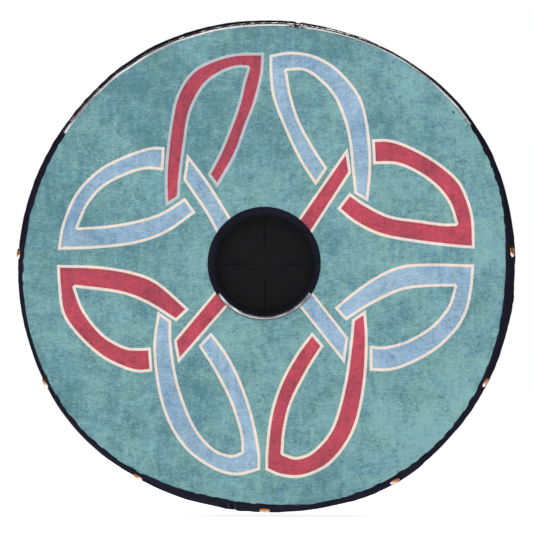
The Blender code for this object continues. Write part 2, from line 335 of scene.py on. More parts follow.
def calc(made, operation, first, second=0.0, third=0.0):
    return node(made, "Math", {0: first, 1: second, 2: third}, operation=operation).outputs[0]


def remap(made, value, low, high, to_low=0.0, to_high=1.0):
    inputs = {"Value": value, 1: low, 2: high, 3: to_low, 4: to_high}
    return node(made, "MapRange", inputs).outputs[0]


def mix(made, factor, first, second, blend="MIX"):
    """Mix of two colours, each given as (r, g, b) or as a socket."""
    mixer = node(made, "Mix", {}, data_type="RGBA", blend_type=blend)
    for index, value in ((0, factor), (6, first), (7, second)):
        if isinstance(value, bpy.types.NodeSocket):
            made.node_tree.links.new(value, mixer.inputs[index])
        else:
            mixer.inputs[index].default_value = (*value, 1) if index else value
    return mixer.outputs[2]


def add_up(made, terms):
    """Sum of (socket, weight) terms, each centred on zero first."""
    total = 0.0
    for socket, weight in terms:
        centred = calc(made, "SUBTRACT", socket, 0.5)
        total = calc(made, "MULTIPLY_ADD", centred, weight, total)
    return total


def bump(made, height, distance, strength=1.0, below=None):
    inputs = {"Height": height, "Distance": distance, "Strength": strength}
    if below:
        inputs["Normal"] = below
    return node(made, "Bump", inputs).outputs[0]


def weave_height(made, pitch):
    """Height of a plain weave: two crossed sets of threads, a pitch apart."""
    place = node(made, "TexCoord", {}).outputs["Object"]
    split = node(made, "SeparateXYZ", {"Vector": place})
    across = calc(made, "SINE", calc(made, "MULTIPLY", split.outputs["X"], TURN / pitch))
    along = calc(made, "SINE", calc(made, "MULTIPLY", split.outputs["Z"], TURN / pitch))
    return calc(made, "MULTIPLY", across, along)


def printed_canvas():
    """Print on canvas: the ink is on the mesh, and the worn, slubby cloth shows through it, with painted
    light making it lighter towards the right and the bottom.
    """
    made = material("printed_canvas", Roughness=0.88, Sheen_Weight=0.12, Sheen_Roughness=0.5)
    ink = node(made, "Attribute", {}, attribute_name="ink")
    clouds = noise(made, 6, 3, 0.55, offset=(3, 0, 1))
    patches = noise(made, 24, 8, 0.74, stretch=(1.0, 1, 1.2), twist=0.7)
    streaks = noise(made, 1, 6, 0.72, stretch=(75, 1, 270), twist=1.6)
    drips = noise(made, 1, 5, 0.62, stretch=(110, 1, 26), offset=(9, 0, 3), twist=0.8)
    grain = noise(made, 460, 3, 0.75)
    wear_and_painted_light = add_up(made, ((clouds, 3.0), (patches, 3.6), (streaks, 4.6), (drips, 2.0), (grain, 3.4)))
    place = node(made, "SeparateXYZ", {"Vector": node(made, "TexCoord", {}).outputs["Object"]})
    # Painted light: the cloth is made lighter towards the right (+X) and darker towards the top (+Z), as
    # the light falls on the face.
    wear_and_painted_light = calc(made, "MULTIPLY_ADD", place.outputs["X"], 0.8, wear_and_painted_light)
    wear_and_painted_light = calc(made, "MULTIPLY_ADD", place.outputs["Z"], -0.4, wear_and_painted_light)
    specks = remap(made, noise(made, 190, 3, 0.6, twist=0.5), 0.56, 0.68, 0.0, 1.4)
    wear_and_painted_light = calc(made, "SUBTRACT", wear_and_painted_light, calc(made, "MULTIPLY", specks, remap(made, patches, 0.55, 0.42)))
    share = calc(made, "MULTIPLY_ADD", calc(made, "MULTIPLY", wear_and_painted_light, ink.outputs["Alpha"]), 0.5, 0.5)
    tint = mix(made, share, (0.50, 0.64, 0.70), (1.50, 1.36, 1.30))
    hue = remap(made, noise(made, 20, 6, 0.6, offset=(5, 0, 7), twist=0.8), 0.38, 0.62)
    tint = mix(made, 1.0, tint, mix(made, hue, (0.97, 0.985, 1.045), (1.02, 1.01, 0.955)), "MULTIPLY")
    colour = mix(made, 1.0, ink.outputs["Color"], tint, "MULTIPLY")
    plug(made, "Base Color", colour)
    threads = bump(made, weave_height(made, 0.0011), 0.00012, 0.5)
    plug(made, "Normal", bump(made, streaks, 0.0006, 0.25, threads))
    return made


def leathercloth(name, ior, level, smooth, rough, pebble):
    """Navy coated cloth with a fine pebbled grain and pale scuffs. smooth and rough are the least
    and greatest roughness, and pebble is how strong its grain is."""
    made = material(name, IOR=ior, Specular_IOR_Level=level)
    patches = noise(made, 30, 4, 0.6)
    place = node(made, "TexCoord", {}).outputs["Object"]
    pebbles = node(made, "TexVoronoi", {"Vector": place, "Scale": 780.0}, feature="F1")
    creases = noise(made, 190, 5, 0.65)
    scuffs = remap(made, creases, 0.58, 0.78, 0.0, 0.35)
    base = mix(made, remap(made, patches, 0.3, 0.7), (0.0095, 0.0095, 0.0165), (0.0160, 0.0160, 0.0265))
    plug(made, "Base Color", mix(made, scuffs, base, (0.030, 0.030, 0.044)))
    plug(made, "Roughness", remap(made, patches, 0.3, 0.7, smooth, rough))
    fine = bump(made, pebbles.outputs["Distance"], 0.00010, pebble)
    plug(made, "Normal", bump(made, creases, 0.0005, pebble / 2, fine))
    return made


def knit_backing(name, dark, light, pitch, roughness=0.92, sheen=0.2):
    """The dull knitted side of a coated cloth, or a plain woven tape."""
    made = material(name, Roughness=roughness, Sheen_Weight=sheen)
    threads = remap(made, weave_height(made, pitch), -0.6, 0.6)
    mottle = noise(made, 120, 4, 0.6)
    shade = calc(made, "ADD", calc(made, "MULTIPLY", threads, 0.5), calc(made, "MULTIPLY", mottle, 0.5))
    plug(made, "Base Color", mix(made, shade, dark, light))
    plug(made, "Normal", bump(made, threads, 0.0003, 0.6, bump(made, mottle, 0.001, 0.3)))
    return made


def fleece():
    made = material("grey_fleece", Roughness=0.97, Sheen_Weight=0.5, Sheen_Roughness=0.6)
    tufts = noise(made, 260, 6, 0.75)
    pills = noise(made, 60, 4, 0.6)
    plug(made, "Base Color", mix(made, tufts, (0.095, 0.096, 0.104), (0.235, 0.237, 0.250)))
    plug(made, "Normal", bump(made, tufts, 0.0012, 0.8, bump(made, pills, 0.003, 0.4)))
    return made


def stretch_cloth():
    """Matt black stretch cloth with a fine knitted rib."""
    made = material("black_stretch_cloth", Roughness=0.94, Specular_IOR_Level=0.12)
    lint = noise(made, 420, 4, 0.7)
    folds = noise(made, 45, 3, 0.5)
    shade = calc(made, "ADD", calc(made, "MULTIPLY", lint, 0.5), calc(made, "MULTIPLY", folds, 0.5))
    plug(made, "Base Color", mix(made, shade, (0.0060, 0.0060, 0.0068), (0.0120, 0.0120, 0.0132)))
    ribs = weave_height(made, 0.0009)
    plug(made, "Normal", bump(made, ribs, 0.00015, 0.6, bump(made, folds, 0.001, 0.25)))
    return made


def aged_brass():
    """Brass with random tarnish and with painted light: its upper sides are painted a shaded brown, and
    its undersides a pale painted highlight.
    """
    made = material("aged_brass", Metallic=1.0)
    tarnish = noise(made, 900, 4, 0.6)
    dulled = remap(made, tarnish, 0.35, 0.65)
    # Painted light: the height up the eyelet, nudged by the tarnish, picks the painted shade above and
    # the painted highlight below.
    place = node(made, "TexCoord", {}).outputs["Generated"]
    height = node(made, "SeparateXYZ", {"Vector": place}).outputs["Z"]
    height = calc(made, "MULTIPLY_ADD", calc(made, "SUBTRACT", tarnish, 0.5), 0.5, height)
    painted_shade_brown = mix(made, dulled, (0.30, 0.090, 0.028), (0.52, 0.205, 0.075))
    painted_highlight_pale = mix(made, dulled, (0.66, 0.52, 0.42), (0.92, 0.84, 0.76))
    plug(made, "Base Color", mix(made, remap(made, height, 0.46, 0.24), painted_shade_brown, painted_highlight_pale))
    plug(made, "Roughness", remap(made, tarnish, 0.3, 0.7, 0.28, 0.42))
    plug(made, "Normal", bump(made, noise(made, 2600, 2), 0.00003, 0.4))
    return made


def moulded_plastic():
    made = material("hoop_plastic", Roughness=0.45)
    flow = noise(made, 300, 3)
    plug(made, "Base Color", mix(made, flow, (0.022, 0.022, 0.024), (0.036, 0.036, 0.038)))
    plug(made, "Normal", bump(made, flow, 0.0001, 0.4))
    return made


def sewing_thread():
    made = material("navy_thread", Roughness=0.55, Sheen_Weight=0.3)
    plies = noise(made, 2400, 2)
    plug(made, "Base Color", mix(made, plies, (0.020, 0.020, 0.036), (0.065, 0.065, 0.095)))
    plug(made, "Normal", bump(made, plies, 0.0001, 0.6))
    return made


# A roll is polished where it faces the sky: on the shoulder, where the sine of the angle round
# the axis is above this, and on the lip, which faces inwards, where it is below minus this.
UPWARD = 0.55
CANVAS = printed_canvas()
LEATHERCLOTH = leathercloth("navy_leathercloth", 1.45, 0.0, 0.42, 0.55, 0.6)
POLISHED = leathercloth("rubbed_leathercloth", 2.3, 0.5, 0.16, 0.23, 0.08)
KNIT = knit_backing("leathercloth_backing", (0.035, 0.035, 0.040), (0.085, 0.085, 0.092), 0.0012)
TAPE = knit_backing("navy_tape", (0.007, 0.007, 0.012), (0.018, 0.018, 0.029), 0.0010, 0.8, 0.02)
ELASTIC = knit_backing("black_elastic", (0.014, 0.014, 0.016), (0.050, 0.050, 0.054), 0.0016, 0.75)
FLEECE = fleece()
BLACK_CLOTH = stretch_cloth()
BRASS = aged_brass()
PLASTIC = moulded_plastic()
THREAD = sewing_thread()


# ---- printed face: the interlaced band, as each ribbon's outline
# Millimetres from the wheel's axis, right and up. An outline is the outside of a ribbon's pale
# edge line. Its stretches each start at a corner, and run smoothly to the next one's corner.
EDGE_LINE = 0.0046
RED, BLUE = (0.440, 0.052, 0.088), (0.268, 0.412, 0.552)
CREAM, LILAC = (0.790, 0.685, 0.600), (0.470, 0.510, 0.545)
TEAL = (0.150, 0.318, 0.342)
RIBBONS = (
    (RED, LILAC, (    # upper left red
        [(-158, 92), (-160, 128), (-158, 173), (-151, 229), (-141, 272), (-118, 308), (-86, 327),
         (-46, 338)],
        [(0.5, 339), (-2, 304), (-13, 259), (-28, 220), (-45, 174)],
        [(-75, 122)],
        [(-91, 143), (-70, 183), (-45, 247), (-34, 290)],
        [(-27, 314), (-45, 314), (-70, 305), (-97, 284), (-118, 243), (-126, 197), (-133, 146)],
        [(-136, 106)])),
    (BLUE, CREAM, (    # upper right blue
        [(9, 335), (41, 340), (77, 335), (110, 318), (137, 292), (158, 259), (169, 208), (172, 151)],
        [(167, 98)],
        [(145, 111), (141, 149), (134, 208), (115, 262), (89, 293), (64, 309)],
        [(37, 309), (44, 270), (57, 229), (80, 186)],
        [(102, 152)],
        [(83, 124), (57, 165), (35, 211), (14, 266), (9, 309)])),
    (RED, CREAM, (    # right upper red
        [(173, 198), (201, 198), (233, 187), (273, 165), (308, 136), (324, 109), (335, 71)],
        [(337, 22), (292, 26), (233, 34), (185, 44), (145, 64)],
        [(117, 87)],
        [(137, 113), (163, 95), (201, 76), (244, 69), (286, 63)],
        [(306, 63), (296, 93), (276, 120), (247, 142), (212, 157)],
        [(175, 158)])),
    (BLUE, CREAM, (    # right lower blue
        [(336, -3), (265, -1), (217, -5), (177, -23), (137, -51)],
        [(113, -72)],
        [(131, -92), (169, -68), (217, -45), (257, -39)],
        [(304, -38), (294, -69), (268, -100), (228, -124), (193, -133)],
        [(169, -132)],
        [(169, -172), (201, -172), (233, -162), (276, -138), (310, -104), (326, -73), (333, -37)])),
    (RED, CREAM, (    # lower right red
        [(2, -330), (3, -296), (10, -241), (26, -191), (51, -145)],
        [(77, -110)],
        [(96, -132), (72, -170), (45, -223), (34, -268)],
        [(31, -303), (53, -309), (80, -297), (109, -260), (128, -193), (137, -131)],
        [(141, -90)],
        [(163, -75), (166, -125), (162, -193), (149, -255), (128, -296), (99, -326), (60, -342),
         (26, -340)])),
    (BLUE, CREAM, (    # lower left blue
        [(-6, -330), (-7, -298), (-18, -244), (-36, -191), (-59, -145)],
        [(-85, -110)],
        [(-105, -132), (-79, -173), (-53, -225), (-38, -274)],
        [(-36, -301), (-54, -306), (-83, -294), (-113, -257), (-137, -194), (-148, -131)],
        [(-149, -92)],
        [(-171, -76), (-178, -131), (-172, -194), (-155, -252), (-125, -298), (-83, -328), (-45, -339)])),
    (BLUE, CREAM, (    # left upper blue
        [(-333, 23), (-270, 25), (-209, 32), (-158, 49)],
        [(-110, 82)],
        [(-127, 106), (-166, 82), (-209, 69), (-254, 62)],
        [(-300, 59), (-284, 95), (-257, 125), (-214, 146), (-187, 152)],
        [(-162, 150)],
        [(-160, 188), (-187, 187), (-230, 172), (-270, 150), (-305, 113), (-326, 64)])),
    (RED, CREAM, (    # left lower red
        [(-334, -1), (-270, -3), (-214, -12), (-171, -29)],
        [(-120, -73)],
        [(-141, -93), (-190, -63), (-235, -47)],
        [(-304, -38), (-289, -75), (-259, -112), (-225, -132), (-201, -135)],
        [(-182, -134)],
        [(-179, -173), (-211, -173), (-259, -152), (-299, -117), (-325, -80), (-332, -35)])),
    (BLUE, CREAM, (    # north west blue
        [(-124, 177)],
        [(-130, 135), (-93, 80)],
        [(-68, 34)],
        [(-44, 58), (-87, 127)])),
    (RED, CREAM, (    # north east red
        [(134, 185)],
        [(140, 145)],
        [(67, 33)],
        [(44, 56)])),
    (RED, CREAM, (    # south west red
        [(-64, -26)],
        [(-145, -123)],
        [(-138, -160)],
        [(-41, -49)])),
    (BLUE, CREAM, (    # south east blue
        [(63, -27)],
        [(135, -119)],
        [(129, -161)],
        [(40, -49)])),
)


def ribbon_outline(stretches):
    """The outline in metres: corners stay sharp, and a smooth curve joins each to the next."""
    outline = []
    for stretch, following in zip(stretches, stretches[1:] + stretches[:1]):
        if len(stretch) > 1:
            outline.append(smooth_path(stretch + following[:1], 5)[:-1])
        else:
            outline.append(np.array(stretch, float))
    return np.vstack(outline) / 1000


SHARP_TURN = 0.35    # radians; a corner that points inwards by more is rounded


def inset(outline, distance):
    """The outline moved inwards: mitred at its corners, and rounded where they point inwards."""
    edges = np.roll(outline, -1, axis=0) - outline
    edges = edges / np.linalg.norm(edges, axis=1, keepdims=True)
    area = np.sum(outline[:, 0] * np.roll(outline, -1, axis=0)[:, 1])
    area -= np.sum(outline[:, 1] * np.roll(outline, -1, axis=0)[:, 0])
    inwards = np.stack([-edges[:, 1], edges[:, 0]], axis=1) * np.sign(area)
    before = np.roll(inwards, 1, axis=0)
    crossed = before[:, 0] * inwards[:, 1] - before[:, 1] * inwards[:, 0]
    bend = np.arctan2(crossed, np.sum(before * inwards, axis=1))
    moved = []
    for corner, first, last, turn in zip(outline, before, inwards, bend * np.sign(area)):
        if turn < -SHARP_TURN:
            steps = np.linspace(0, 1, 6)[:, None]
            round_it = first * (1 - steps) + last * steps
            round_it = round_it / np.linalg.norm(round_it, axis=1, keepdims=True)
            moved.append(corner + round_it * distance)
        else:
            moved.append([corner + (first + last) / (1 + first @ last) * distance])
    return np.vstack(moved)


def inside(points, outline):
    """Which points lie inside a closed outline."""
    crossings = np.zeros(len(points), int)
    for (x0, z0), (x1, z1) in zip(outline, np.roll(outline, -1, axis=0)):
        spans = (points[:, 1] < z0) != (points[:, 1] < z1)
        if z0 != z1:
            meets = x0 + (points[:, 1] - z0) * (x1 - x0) / (z1 - z0)
            crossings += spans & (points[:, 0] < meets)
    return crossings % 2 == 1


SEAM_PULL = 0.0016    # how deep the face's two seams draw it in, and how near them
SEAM_PULL_REACH = 0.0022
WAVE_HEIGHT = 0.0005
PUCKER_REACH = 0.016
FACE_RINGS = 54
EDGE_RINGS = (0.0050, 0.0030, 0.0016, 0.0007, 0.0)    # distances in from the outer edge
EDGE_STEPS = 480    # points round each of those rings
FACE_POINT_STEP = 0.0062    # between points round the other rings
EDGE_INK, FILL_INK = 0.25, 0.72    # how much of the cloth's mottle shows through each


def face_depth(x, z):
    """Y of the stretched canvas: soft waves, drawn in by the seams at its two edges."""
    radius, angle = np.hypot(x, z), np.arctan2(z, x)
    waves = -WAVE_HEIGHT * (1 + ripples(11, angle, radius, (2, 9), 0.35))
    puckers = WAVE_HEIGHT * ripples(12, angle, radius, (60, 130), 0.05, 20)
    puckers *= np.exp(-(FACE_RADIUS - radius) / PUCKER_REACH)
    rim = np.exp(-(((FACE_RADIUS - radius) / SEAM_PULL_REACH) ** 2))
    rim = rim + np.exp(-(((radius - PANEL_INNER) / SEAM_PULL_REACH) ** 2))
    return FACE_Y + waves * fade(radius, PANEL_INNER, 0.13) + puckers + SEAM_PULL * rim


def face_points():
    """Points of the face's own grid: rings about 5 mm apart, closer at the two edges."""
    rows = np.concatenate([
        PANEL_INNER + np.array([0.0, 0.0012, 0.0028]),
        np.linspace(PANEL_INNER + 0.006, FACE_RADIUS - 0.008, FACE_RINGS),
        FACE_RADIUS - np.array(EDGE_RINGS)])
    points = []
    for row, radius in enumerate(rows):
        near_edge = row >= len(rows) - len(EDGE_RINGS)
        count = EDGE_STEPS if near_edge else max(160, int(TURN * radius / FACE_POINT_STEP))
        angles = np.linspace(0, TURN, count, endpoint=False) + 0.5 * (row % 2) * TURN / count
        radii_here = radius + edge_shift(angles) * fade(radius, 0.25, FACE_RADIUS)
        points.append(np.stack([radii_here * np.cos(angles), radii_here * np.sin(angles)], axis=1))
    return points


def build_face():
    """The printed canvas. The ribbons' edges are edges of its mesh, so the ink keeps them sharp."""
    rings = face_points()
    points = [Vector(p) for ring in rings for p in ring]
    edges = []
    outer_start = len(points) - len(rings[-1])
    for start, count in ((0, len(rings[0])), (outer_start, len(rings[-1]))):
        edges += [(start + i, start + (i + 1) % count) for i in range(count)]
    shapes = []
    for fill, edge, stretches in RIBBONS:
        outer = ribbon_outline(stretches)
        inner = inset(outer, EDGE_LINE)
        shapes.append((fill, edge, outer, inner))
        for outline in (outer, inner):
            radius = np.hypot(*outline.T)
            kept = radius > PANEL_INNER + 0.0004
            numbers = {}
            for i in np.flatnonzero(kept):
                numbers[i] = len(points)
                points.append(Vector(outline[i]))
            for i in range(len(outline)):
                after = (i + 1) % len(outline)
                if i in numbers and after in numbers:
                    edges.append((numbers[i], numbers[after]))
                elif i in numbers or after in numbers:
                    held, lost = (i, after) if i in numbers else (after, i)
                    edges.append((numbers[held], len(points)))
                    points.append(Vector(port_crossing(outline[held], outline[lost])))
    flat, _, triangles, *_ = delaunay_2d_cdt(points, edges, [], 0, 0.00001)
    flat = np.array([tuple(p) for p in flat])
    triangles = np.array(triangles)
    middles = flat[triangles].mean(axis=1)
    triangles = triangles[np.hypot(*middles.T) > PANEL_INNER * 0.9995]
    sides = flat[triangles]
    first, second = sides[:, 1] - sides[:, 0], sides[:, 2] - sides[:, 0]
    wrong_way = first[:, 0] * second[:, 1] - first[:, 1] * second[:, 0] < 0
    triangles[wrong_way] = triangles[wrong_way][:, ::-1]
    middles = flat[triangles].mean(axis=1)
    ink = np.tile(np.array([*TEAL, 1.0]), (len(triangles), 1))
    for fill, edge, outer, inner in shapes:
        ink[inside(middles, outer)] = (*edge, EDGE_INK)
        ink[inside(middles, inner)] = (*fill, FILL_INK)
    heights = face_depth(flat[:, 0], flat[:, 1])
    points_3d = np.stack([flat[:, 0], heights, flat[:, 1]], axis=1)
    face = new_piece("printed_face", points_3d, triangles, CANVAS)
    colours = face.data.color_attributes.new("ink", "FLOAT_COLOR", "CORNER")
    colours.data.foreach_set("color", np.repeat(ink, 3, axis=0).astype(np.float32).ravel())
    fit_in(face, "face_panel")


def port_crossing(held, lost):
    """Where an outline's edge runs in under the port's lip."""
    low, high = np.array(held), np.array(lost)
    for _ in range(30):
        middle = (low + high) / 2
        if np.hypot(*middle) > PANEL_INNER + 0.0002:
            low = middle
        else:
            high = middle
    return low


# ---- side wall
# The shoulder as arcs: the way its face looks at each one's start and end, in degrees from
# straight outwards towards the front, and its radius. The middle one is all but flat.
SHOULDER_ARCS = ((76, 70, 0.0050), (70, 65, 0.0440), (65, 20, 0.0035))
SHOULDER_END = 0.0115      # distance along the cloth from its hidden edge
# The edge that is tucked behind the face: how far inside its radius, and how far behind it.
HIDDEN_EDGE = ((0.0019, 0.0036), (0.0015, 0.0018), (0.0011, 0.0002), (0.0007, -0.0005))
ARC_STEPS = 4
LEAST_STEP = 0.00005


def arc_points(start, first, last, radius):
    """Points (radius, depth) of an arc that follows on from start, without start itself."""
    turns = np.radians(np.linspace(first, last, ARC_STEPS + 1))
    offsets = radius * np.stack([np.cos(turns), -np.sin(turns)], axis=1)
    return [tuple(np.array(start) + offset - offsets[0]) for offset in offsets[1:]]


def wall_rows():
    """The wall's outer profile at rest: radius, depth and distance along the cloth, row by row."""
    roll = [(FACE_RADIUS - inwards, FACE_Y + back) for inwards, back in HIDDEN_EDGE]
    for first, last, radius in SHOULDER_ARCS:
        roll += arc_points(roll[-1], first, last, radius)
    start = roll[-1]
    band = [(start[0] + length * math.sin(WALL_FLARE), start[1] + length * math.cos(WALL_FLARE))
            for length in (0.0060, 0.0120, 0.0178)]
    front = smooth_path(roll + band, 2)
    wide = WIDEST_RADIUS
    rear = smooth_path([
        tuple(front[-1]), (wide - 0.0004, 0.032), (wide, 0.048), (wide, 0.075), (wide, 0.105),
        (wide, 0.135), (wide - 0.0006, 0.165), (wide - 0.0035, 0.195), (wide - 0.0120, 0.220),
        (wide - 0.0260, 0.240), (wide - 0.0460, 0.252), (wide - 0.0660, REAR_Y), (wide - 0.0850, REAR_Y),
        (HEM_INNER + 0.0135, REAR_Y)], 4)
    path = np.vstack([front[:-1], rear])
    steps = np.hypot(*np.diff(path, axis=0).T)
    path = path[np.concatenate([[True], steps > LEAST_STEP])]
    steps = np.hypot(*np.diff(path, axis=0).T)
    return path[:, 0], path[:, 1], np.concatenate([[0], np.cumsum(steps)])


WALL_RADIUS, WALL_DEPTH, WALL_ALONG = wall_rows()
GATHER_START_Y = 0.195
GATHER_PLEATS = 84
GATHER_HEIGHT = 0.0042


def gathers(angles):
    """Height of the hem's gathers, from -1 to 1: uneven pleats, as elastic draws them."""
    drift = 1.5 * ripples(21, angles, 0, (3, 11), 1) + 0.8 * ripples(22, angles, 0, (12, 25), 1)
    pleat = np.cos(GATHER_PLEATS * angles + drift)
    second = 0.35 * np.cos(2 * GATHER_PLEATS * angles + 1.7 * drift)
    return (pleat + second) * (0.82 + 0.25 * ripples(23, angles, 0, (4, 30), 1))


def wall_surface(angles, rows=slice(None), sunk=0.0):
    """Radius and depth of the draped wall, for some rows of its profile, sunk inside its face."""
    along_r, along_y = np.gradient(WALL_RADIUS), np.gradient(WALL_DEPTH)
    length = np.hypot(along_r, along_y)
    out_r, out_y = (along_y / length)[rows, None], (-along_r / length)[rows, None]
    radius, depth = WALL_RADIUS[rows, None], WALL_DEPTH[rows, None]
    along = WALL_ALONG[rows, None]
    # short puckers beside the shoulder, flatter round the eyelets; then slack and creases behind it
    lift = 0.0006 * ripples(31, angles, along, (70, 150), 0.08, 22)
    lift = lift * fade(along, 0.009, 0.016) * fade(along, 0.045, 0.016)
    lift = lift * (0.25 + 0.75 * fade(eyelet_distance(angles), 0.010, 0.030))
    lift = lift + 0.0011 * ripples(32, angles, along, (5, 26), 0.16, 20) * fade(along, 0.03, 0.08)
    lift = lift + 0.0005 * ripples(33, angles, along, (30, 90), 0.03, 20) * fade(along, 0.03, 0.08)
    # a groove at each seam with a low ridge beside it, and the hem's gathers
    seam = seam_distance(angles)
    lift = lift - 0.0016 * np.exp(-((seam / 0.0035) ** 2)) * fade(along, 0.002, 0.010)
    lift = lift + 0.0006 * np.exp(-(((seam - 0.009) / 0.005) ** 2)) * fade(along, 0.002, 0.010)
    reach = fade(depth, GATHER_START_Y - 0.045, REAR_Y - 0.006)
    lift = lift + GATHER_HEIGHT * gathers(angles) * reach**1.5
    lift = lift - sunk
    # out of round like the face at the shoulder, then like the widest part, then round at the hem
    reached = fade(along, 0.002, 0.030)
    shift = edge_shift(angles) * (1 - reached)
    shift = shift + widest_shift(angles) * reached * fade(depth, 0.17, 0.06)
    return radius + out_r * lift + shift, depth + out_y * lift


def build_wall():
    """The two strips of leathercloth, each from one seam round to the other."""
    gap = SEAM_HALF_GAP / WIDEST_RADIUS
    for side, first_seam in zip(("left", "right"), SEAM_ANGLES):
        angles = np.linspace(first_seam + gap, first_seam + math.pi - gap, 501)[None, :]
        radius, depth = wall_surface(angles)
        finishes = (LEATHERCLOTH, KNIT, POLISHED, KNIT)
        wall = ring_piece("wall_" + side, angles, radius, depth, finishes, closed=False)
        on_roll = (WALL_ALONG[:-1] < SHOULDER_END)[:, None]
        polished = on_roll & (np.sin(angles[:, :-1]) > UPWARD)
        wall.data.polygons.foreach_set("material_index", np.where(polished, 2, 0).ravel())
        thicken(wall, WALL_THICK, 1)
        fit_in(wall, "side_wall_" + side)


TAPE_WIDTH = 0.020
TAPE_THICK = 0.0008
TAPE_CLEARANCE = 0.0006
TAPE_START = 0.0150    # distance along the wall from its hidden edge
SEAM_STITCH_OFFSET = 0.0055
SEAM_STITCH_MARGIN = 0.012
SEAM_STITCH_PITCH = 0.0045


def build_seam_tapes():
    """A tape inside the wall over each seam, and the two rows of stitches that hold it."""
    rows = slice(int(np.searchsorted(WALL_ALONG, TAPE_START)), -10)
    half_width = TAPE_WIDTH / 2 / WIDEST_RADIUS
    for name, seam in zip(("top", "bottom"), SEAM_ANGLES):
        angles = np.linspace(seam - half_width, seam + half_width, 17)[None, :]
        radius, depth = wall_surface(angles, rows, sunk=WALL_THICK + TAPE_CLEARANCE)
        tape = ring_piece(name + "_tape", angles, radius, depth, TAPE, closed=False)
        thicken(tape, TAPE_THICK)
        fit_in(tape, name + "_seam_tape")
        sew_along_wall(name + "_seam_stitches", seam)


def sew_along_wall(name, seam):
    """Two rows of stitches that run front to back on the outside of the wall, beside a seam."""
    end = WALL_ALONG[-1] - SEAM_STITCH_MARGIN
    distances = np.arange(SEAM_STITCH_MARGIN, end, SEAM_STITCH_PITCH)
    places, along, up = [], [], []
    for offset in (-SEAM_STITCH_OFFSET, SEAM_STITCH_OFFSET):
        angle = np.array([[seam + offset / WIDEST_RADIUS]])
        radius, depth = wall_surface(angle)
        radius, depth = radius[:, 0], depth[:, 0]
        r = np.interp(distances, WALL_ALONG, radius)
        y = np.interp(distances, WALL_ALONG, depth)
        dr, dy = np.gradient(r), np.gradient(y)
        c, s = math.cos(angle[0, 0]), math.sin(angle[0, 0])
        places.append(np.stack([r * c, y, r * s], axis=1))
        along.append(np.stack([dr * c, dy, dr * s], axis=1))
        up.append(np.stack([dy * c, -dr, dy * s], axis=1))
    stitches(name, np.vstack(places), np.vstack(along), np.vstack(up))


# ---- elastic hem
def hem_ring(name, corners, made_of, node_name):
    """A ring that rises and falls with the hem's gathers."""
    angles = full_turn(1440)
    profile = rounded_loop(corners, 4)
    tight = 0.0012 * ripples(24, angles, 0, (30, 90), 1)
    radius = profile[:, :1] + tight * fade(profile[:, :1], HEM_OUTER, HEM_INNER)
    depth = profile[:, 1:] + GATHER_HEIGHT * gathers(angles)
    ring = ring_piece(name, angles, radius, depth, made_of, loop=True)
    fit_in(ring, node_name)
    return ring


def build_hem():
    """The binding folded round the wall's rear edge, with the elastic drawn through its fold."""
    rear, wall = REAR_Y, WALL_THICK
    fold, outer = HEM_INNER, HEM_OUTER
    casing = hem_ring("hem_casing", [
        (outer, rear + 0.0012), (outer - 0.0008, rear + 0.0021), (outer - 0.004, rear + 0.0019),
        (fold + 0.0175, rear + 0.0020), (fold + 0.0120, rear + 0.0027), (fold + 0.0060, rear + 0.0031),
        (fold + 0.0014, rear + 0.0021), (fold, rear - wall / 2), (fold + 0.0014, rear - wall - 0.0021),
        (fold + 0.0060, rear - wall - 0.0031), (fold + 0.0120, rear - wall - 0.0027),
        (fold + 0.0175, rear - wall - 0.0013), (outer - 0.004, rear - wall - 0.0011),
        (outer - 0.0008, rear - wall - 0.0014), (outer, rear - wall - 0.0006),
    ], TAPE, "hem_binding")
    inner, end = ELASTIC_RADII
    hem_ring("elastic", [
        (end, rear - 0.0012), (end, rear), (inner, rear), (inner, rear - 0.0012),
    ], ELASTIC, "hem_elastic")
    angles = full_turn(470)[0]
    rows = (("hem_stitches_outer", outer - 0.0036, 0.0020), ("hem_stitches_inner", fold + 0.0178, 0.0021))
    for name, radius, height in rows:
        depth = rear + height + GATHER_HEIGHT * gathers(angles)
        sew_round(name, angles, np.full_like(angles, radius), depth)


def sew_round(name, angles, radius, depth):
    """A row of stitches round the axis, on the rear of the cloth."""
    places = np.stack([radius * np.cos(angles), depth, radius * np.sin(angles)], axis=1)
    along = np.roll(places, -1, axis=0) - np.roll(places, 1, axis=0)
    stitches(name, places, along, np.tile([0.0, 1.0, 0.0], (len(angles), 1)))


# ---- eyelets
EYELET_SEARCH_END = 0.060    # the eyelets are all in front of this depth


def eyelet_place(name):
    """Placement of an eyelet: its origin on the draped wall's face, and local +Z out of it."""
    low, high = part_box(name)
    middle = (low + high) / 2
    angle = math.atan2(middle.z, middle.x)
    radius, depth = wall_surface(np.array([[angle]]))
    radius, depth = radius[:, 0], depth[:, 0]
    band = slice(int(np.argmin(depth)), int(np.argmax(depth > EYELET_SEARCH_END)))
    reach = np.interp(middle.y, depth[band], WALL_ALONG[band])
    ends = [reach - EYELET_RADIUS, reach + EYELET_RADIUS]
    front_r, rear_r = np.interp(ends, WALL_ALONG, radius)
    front_y, rear_y = np.interp(ends, WALL_ALONG, depth)
    flare = math.atan2(rear_r - front_r, rear_y - front_y)
    tilt = math.cos(flare)
    out = Vector((math.cos(angle) * tilt, -math.sin(flare), math.sin(angle) * tilt))
    here = float(np.interp(reach, WALL_ALONG, radius))
    origin = Vector((here * math.cos(angle), middle.y, here * math.sin(angle)))
    turn = Vector((0, 0, 1)).rotation_difference(out).to_matrix().to_4x4()
    return Matrix.Translation(origin) @ turn


def turned_part(name, profile, made_of, place):
    """A small turned part about its own +Z. Its profile is (radius, height), down its outside."""
    points, quads = ring_grid(full_turn(48), profile[:, :1], -profile[:, 1:], loop=True)
    points = points[:, [0, 2, 1]] * np.array([1.0, 1.0, -1.0])
    piece = new_piece(name, points, quads[:, ::-1], made_of)
    piece.data.transform(place)
    return piece


